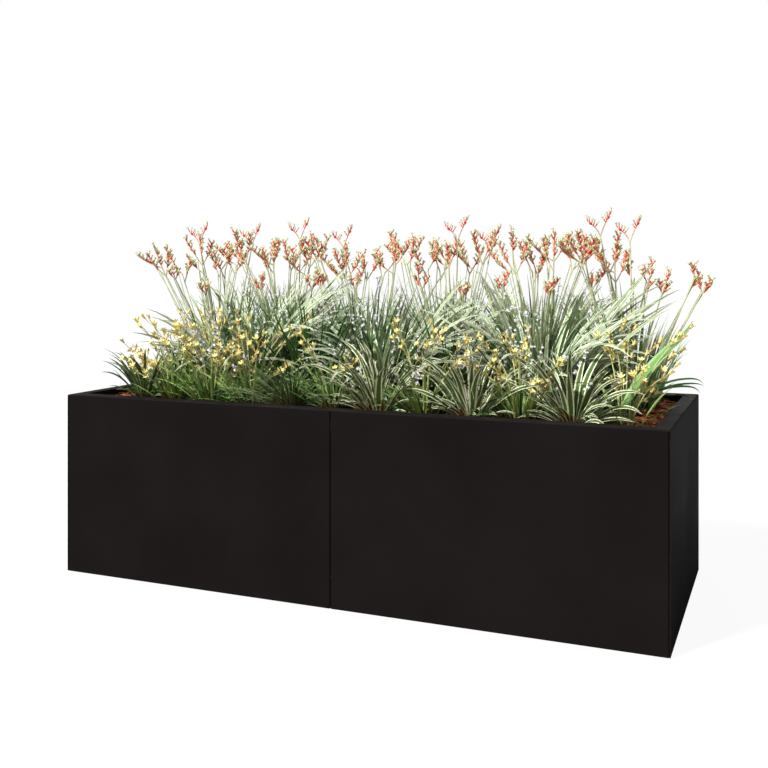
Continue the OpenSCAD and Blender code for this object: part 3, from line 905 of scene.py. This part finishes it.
# Branches of a red head: each one's lean, from -1 to 1, and its share of the head's height.
BRANCH_FAN = ((-0.95, 0.95), (-0.40, 0.95), (0.10, 1.05), (0.50, 0.85), (0.95, 0.90))
FAN_OPENS = 1.3  # radians that a branch with a lean of 1 stands out from the stem
FORK_SHARE = 0.80  # share of a head's reach that lies above its fork
TALL_FORK = 0.062  # metres from the top of a tall stem down to its fork


def red_head(g, foot, top, fan, flowers=12, reach=0.115):
    """A tall stem that opens like a fan into short branches, each with a dense raceme at its end."""
    foot, top = np.asarray(foot, float), np.asarray(top, float)
    fork = top - UP * reach * FORK_SHARE
    path = sweep(foot, foot * 0.45 + fork * 0.55 + g.spot(0.02), fork, 14)
    g.stem(path, 0.0030, 0.0022, RED_STEM, sides=6)
    along = end_of(path, 2)
    depth = g.either(0.6)
    for angle, share in fan:
        turn = angle * FAN_OPENS + g.either(0.15)
        out = unit(np.array((1.0, depth * math.copysign(1, angle) + g.either(0.4), 0.0)))
        heading = along * math.cos(turn) + out * math.sin(turn)
        start = path[-1 - int(g.random.integers(0, 2))]
        length = reach * share * g.pick(0.9, 1.08)
        curve = arc(start, heading, length, UP * 0.7 + out * g.either(0.3), 9)
        g.stem(curve, 0.0024, 0.0018, RED_BRANCH)
        raceme(g, curve, 0.40, flowers, 0.025, 0.0036, out * math.copysign(1, angle))
        if share > 0.9:
            side_foot = foot + g.spot(0.03)
            joint = curve[2] - UP * 0.004
            knee = side_foot * 0.35 + joint * 0.65 + out * g.either(0.02)
            g.stem(sweep(side_foot, knee, joint, 12), 0.0022, 0.0016, RED_STEM)


def tall_fork(g, foot, top):
    """A stem that stands above the rest and forks into two, with a few open flowers on each tip."""
    foot, top = np.asarray(foot, float), np.asarray(top, float)
    fork = top - UP * TALL_FORK
    path = sweep(foot, foot * 0.4 + fork * 0.6 + np.array((0.012, 0, 0)), fork, 14)
    g.stem(path, 0.0034, 0.0023, RED_STEM, sides=6)
    for side, length, bend in ((-1, 0.052, -0.7), (1, 0.066, 0.25)):
        curve = arc(fork, np.array((0.28 * side, 0.05 * side, 1.0)), length,
                    np.array((bend, 0.1 * side, -0.25 if side < 0 else 0.0)), 9)
        g.stem(curve, 0.0022, 0.0017, RED_BRANCH, sides=6)
        aim = end_of(curve)
        bud = arc(curve[-1] - aim * 0.004, aim, 0.013, UP * 0.1, 4)
        g.tube(bud, (0.002, 0.0042, 0.0040, 0.0015), RED_BUD, sides=7)
        for i in range(5):
            base = curve[-1] + aim * (0.012 - 0.007 * i)
            finger = UP * 1.0 + np.array((0.30 * (1.4 - i) * side, g.either(0.5), 0))
            tube_flower(g, base, finger, g.pick(0.021, 0.027), 0.0024, UP * 0.2, 0.6, RED_FLOWER,
                        0.26, lobes=5)


def red_paw_plant(node, seed, heads, tall, low, lean):
    """Tall strap leaves with red heads, tall forks and low heads at the places given."""
    g = Growth(seed)
    middle = crown(node)
    round_crown(g, middle, 80, PAW_LEAF, (0.28, 0.47), (0.009, 0.015), (0.95, 1.50), (0.1, 0.7),
                0.090, lean, face=0.5, power=2.0)
    round_crown(g, middle, 80, SILVER_LEAF, (0.30, 0.48), (0.009, 0.015), (1.00, 1.50), (0.1, 0.6),
                0.090, lean, face=0.5, power=2.0)

    def foot():
        return np.asarray(middle) + g.spot(0.045) - UP * ROOTED

    def top(x, y, below):
        return middle.x + x, middle.y + y, TOP_STEM_Z - below

    for place in heads:
        high = Vector(top(*place))
        red_head(g, foot(), high, BRANCH_FAN[:4])
        side = g.pick(0.045, 0.085) * (-1 if place[0] > 0 else 1)
        start = foot()
        beside = Vector((side, 0.05, -g.pick(0.005, 0.035)))
        red_head(g, start, high + beside, BRANCH_FAN[1::2])
    for place in tall:
        tall_fork(g, foot(), top(*place))
    for place in low:
        red_head(g, foot(), top(*place), BRANCH_FAN[1:4], flowers=6, reach=0.048)
    g.finish(node + "_plant", node)


# ---- The planting ----

# The rosette at the left end is dark and leans away from the wall; the others have pale margins.
PALE_ROSETTE = {"leaf": STRIPED_LEAF, "counts": (34, 36), "length": (0.21, 0.29), "width": (0.018, 0.024),
                "rise": 0.70}
DARK_ROSETTE = {"leaf": DARK_LEAF, "counts": (46, 14), "length": (0.18, 0.26), "width": (0.010, 0.015),
                "rise": 0.80, "shift": 0.035, "lean": (0.05, 0.15)}
for i, name in enumerate(nodes_called("striped_rosette")):
    striped_rosette(name, 100 + i, **(PALE_ROSETTE if i else DARK_ROSETTE))
fine_tuft("fine_leaved_tuft", 150)

# Left to right: how many stems, how many leaves of each kind, and which way they lean.
YELLOW_PLANTS = ((20, 40, (-0.7, 0.0)), (17, 44, NO_LEAN), (10, 44, (0.4, 0.0)), (5, 40, NO_LEAN),
                 (9, 34, (0.3, 0.0)), (12, 34, (-0.2, 0.0)), (13, 3, (0.6, 0.35)))
# Leaves that stand out: X and Y from the crown, turn, rise, length, width, droop and material.
ARCHING_LEAF = (0.0, 0.0, 0.0, 1.30, 0.44, 0.018, 1.8, SILVER_LEAF)
END_LEAVES = (
    (0.02, -0.22, 0.0, 1.24, 0.40, 0.058, 0.60, BROAD_LEAF),
    (0.03, 0.00, -0.10, 1.30, 0.33, 0.014, 1.70, DEEP_GREEN_SHADE_LEAF),
    (0.03, -0.03, -0.25, 1.20, 0.31, 0.015, 1.60, DEEP_GREEN_SHADE_LEAF),
    (0.02, 0.03, 0.15, 1.10, 0.30, 0.014, 1.40, DEEP_GREEN_SHADE_LEAF),
    (0.03, -0.06, -0.40, 1.15, 0.26, 0.013, 1.50, DEEP_GREEN_SHADE_LEAF),
)
for i, name in enumerate(nodes_called("yellow_kangaroo_paw")):
    yellow_paw_plant(name, 201 + i, *YELLOW_PLANTS[i], strays=(ARCHING_LEAF,) if i == 1 else ())

# Left to right: height, lean and how many leaves.
GRASSES = ((0.29, (0.55, 0.1), 110), (0.41, NO_LEAN, 230), (0.33, NO_LEAN, 210), (0.30, (-0.75, 0.1), 110))
for i, name in enumerate(nodes_called("green_grass")):
    green_grass(name, 301 + i, *GRASSES[i], strays=END_LEAVES if i == len(GRASSES) - 1 else ())

# Left to right: lean and longest leaf.
SILVER_CLUMPS = (((0.25, 0.40), 0.61), ((0.30, 0.32), 0.54), ((0.10, 0.32), 0.58))
for i, name in enumerate(nodes_called("silver_clump")):
    silver_clump(name, 400 + i, *SILVER_CLUMPS[i])

# Left to right, each red plant's heads, tall forks and low heads in front, as X and Y from its crown and
# how far their tops lie below the highest stems; then which way its leaves lean.
RED_PLANTS = (
    (((-0.20, -0.10, 0.07), (-0.04, -0.06, 0.06), (0.09, -0.02, 0.06)),
     ((-0.06, -0.05, 0.01), (0.17, -0.04, 0.02)),
     ((-0.12, -0.12, 0.17), (0.03, -0.14, 0.20)), (0.55, 0.0)),
    (((-0.15, -0.08, 0.05), (-0.02, -0.10, 0.06), (0.10, -0.04, 0.07)),
     ((0.06, -0.04, 0.00),),
     ((-0.05, -0.14, 0.19), (0.16, -0.12, 0.18)), NO_LEAN),
    (((-0.16, -0.06, 0.05), (-0.04, -0.10, 0.08), (0.13, -0.04, 0.06)),
     ((-0.09, -0.02, 0.03),),
     ((0.02, -0.14, 0.18), (-0.12, -0.14, 0.20)), NO_LEAN),
    (((-0.12, -0.10, 0.06), (0.02, -0.06, 0.07), (0.13, -0.02, 0.06)),
     ((0.06, -0.08, 0.01), (0.16, -0.02, 0.04)),
     ((-0.06, -0.14, 0.17), (0.10, -0.13, 0.20)), NO_LEAN),
    (((-0.06, -0.08, 0.06), (0.07, -0.04, 0.05), (0.18, -0.10, 0.06)),
     (),
     ((-0.08, -0.14, 0.18), (0.08, -0.14, 0.20), (0.22, -0.06, 0.17)), NO_LEAN),
    (((-0.14, -0.06, 0.06), (-0.05, -0.02, 0.09)),
     ((-0.09, -0.06, 0.00), (0.00, -0.02, 0.02)),
     ((0.06, -0.04, 0.18), (0.11, -0.02, 0.19), (0.20, 0.02, 0.165), (0.24, -0.02, 0.185)), (-0.4, 0.0)),
)
for i, name in enumerate(nodes_called("red_kangaroo_paw")):
    red_paw_plant(name, 501 + i, *RED_PLANTS[i])

# ---- Bark mulch ----

HEAP_H = 0.012  # how much higher the bark lies at both ends
HEAP_L, HEAP_SLOPE = 0.24, 0.12  # how far the heaps reach in, and the length of their slope
CHIPS = 3400
CHIP_SWELL = np.array((0.55, 1.0, 0.95, 0.5))  # a chip's size from end to end


def heap(x):
    """How much higher the bark lies at x."""
    return HEAP_H * np.clip((np.abs(x) - (HALF_L - HEAP_L)) / HEAP_SLOPE, 0, 1)


def bark_bed():
    """A crumbly bed under the rim, with chips of bark that lie mostly along it."""
    g = Growth(700)
    low, high = BARK_LOW, BARK_HIGH
    cells_x, cells_y = 150, 60
    grid_x, grid_y = grid_over(low, high, cells_x, cells_y)
    lumps = g.random.normal(0, 0.0022, (cells_x, cells_y))
    swell = 0.004 * np.sin(grid_x * 9 + 1.3 * np.sin(grid_y * 7)) * np.cos(grid_y * 11)
    top = np.stack([grid_x, grid_y, high.z - 0.006 + lumps + swell + heap(grid_x)], -1)
    floor = np.stack([grid_x, grid_y, np.full_like(grid_x, low.z)], -1)
    g.slab(top, floor, 20, 50, 0.12, BARK)
    for _ in range(CHIPS):
        length = g.pick(0.016, 0.060)
        width = g.pick(0.005, 0.015)
        thick = g.pick(0.002, 0.006)
        yaw = g.random.normal(0, 0.7)
        pitch = g.random.normal(0, 0.16)
        heading = level(yaw, math.cos(pitch)) + UP * math.sin(pitch)
        side = unit(np.array((-math.sin(yaw), math.cos(yaw), g.random.normal(0, 0.2))))
        normal = np.cross(heading, side)
        x = g.pick(low.x + 0.03, high.x - 0.03)
        y = g.pick(low.y + 0.03, high.y - 0.03)
        middle = np.array((x, y, high.z - 0.003 + g.pick(0, 0.008) + heap(x)))
        t = np.linspace(-0.5, 0.5, 4)
        bend = normal * (g.random.normal(0, 0.05) * length)
        line = middle + heading * (t * length)[:, None] + bend * (1 - 4 * t[:, None] ** 2)
        turn = np.arange(6) * np.pi / 3 + g.random.uniform(-0.25, 0.25, 6)
        size = CHIP_SWELL * g.random.uniform(0.75, 1.15, 4)
        ring = (np.cos(turn)[:, None] * side * width + np.sin(turn)[:, None] * normal * thick) / 2
        rings = line[:, None] + ring[None] * size[:, None, None]
        g.rings(rings, np.arange(6) / 6 * 0.8, t * length * 30, g.random.random(), BARK)
    g.finish("bark_bed", "bark_mulch", sharp=35)


bark_bed()

# ---- Filter mat ----

MAT_SHARE = 0.6  # share of the gap between gravel and soil that the felt fills


def lay_filter_mat():
    """The felt between gravel and soil: one cut sheet that dips a little between the stones."""
    low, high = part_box("filter_mat")
    cells_x, cells_y = 160, 64
    grid_x, grid_y = grid_over(low, high, cells_x, cells_y)
    dips = 0.0003 * (np.sin(grid_x * 41 + np.sin(grid_y * 23)) * np.cos(grid_y * 37) - 1)
    thick = (high.z - low.z) * MAT_SHARE
    g = Growth(800)
    top = np.stack([grid_x, grid_y, high.z + dips], -1)
    g.slab(top, top - UP * thick, 1, 1, 0.5, FELT)
    mat = g.finish("filter_mat_sheet", "filter_mat")


lay_filter_mat()

# ---- Floor and light ----

FLOOR_HALF = 30
FLOOR_PALE = ((0.32, 0.32, 0.32, 1), (0.34, 0.34, 0.34, 1))
SHADE = (0.06, 0.06, 0.06, 1)  # how much of its shade the floor shows to the camera
FLOOR_WHITE = 0.93
CEILING_COLOUR, WHITE = (1, 0.99, 0.97, 1), (1, 1, 1, 1)
WALL_LIGHT, CEILING_LIGHT = 0.08, 0.34


def make_floor():
    """White to the camera with only a faint shade of what stands on it; plain pale to every other ray."""
    material = bpy.data.materials.new("pale_floor")
    w = emptied(material)
    colour = w.use(MOTTLE, First=FLOOR_PALE[0], Second=FLOOR_PALE[1], Scale=0.5, Grain=0.0)["Colour"]
    seen = w.node("ShaderNodeAddShader")
    w.feed(seen.inputs[0], w.output_of("ShaderNodeBsdfDiffuse", Color=SHADE))
    w.feed(seen.inputs[1], w.output_of("ShaderNodeEmission", Strength=FLOOR_WHITE))
    both = w.by_ray(w.output_of("ShaderNodeBsdfDiffuse", Color=colour), seen.outputs[0])
    w.fed(w.node("ShaderNodeOutputMaterial"), {"Surface": both})
    return material


def lay_floor():
    mesh = bpy.data.meshes.new("floor")
    corners = [(x * FLOOR_HALF, y * FLOOR_HALF, 0) for x, y in ((-1, -1), (1, -1), (1, 1), (-1, 1))]
    mesh.from_pydata(corners, [], [(0, 1, 2, 3)])
    mesh.materials.append(make_floor())
    floor = bpy.data.objects.new("floor", mesh)
    link(floor)


def hang_sun(name, strength, heading, softness):
    light = bpy.data.lights.new(name, "SUN")
    light.energy = strength
    light.angle = math.radians(softness)
    obj = bpy.data.objects.new(name, light)
    obj.rotation_euler = Vector(heading).to_track_quat("-Z", "Y").to_euler()
    link(obj)


def make_studio():
    """A white backdrop to the camera; for light, a bright ceiling that fades to dim walls."""
    world = bpy.data.worlds.new("studio")
    bpy.context.scene.world = world
    w = emptied(world)
    up = w.split(w.node("ShaderNodeTexCoord").outputs["Generated"])["Z"]
    glow = w.spread(up, 0.0, 0.75, WALL_LIGHT, CEILING_LIGHT)
    ceiling = w.output_of("ShaderNodeBackground", Color=CEILING_COLOUR, Strength=glow)
    backdrop = w.output_of("ShaderNodeBackground", Color=WHITE, Strength=1.0)
    w.fed(w.node("ShaderNodeOutputWorld"), {"Surface": w.by_ray(ceiling, backdrop)})


lay_floor()
make_studio()
hang_sun("key_light", 4.7, (0.50, 0.78, -0.95), 6)
hang_sun("fill_light", 0.35, (-0.6, 0.9, -0.7), 60)
hang_sun("back_light", 0.70, (0.25, -0.85, -0.45), 40)
bpy.context.scene.view_settings.view_transform = "Standard"
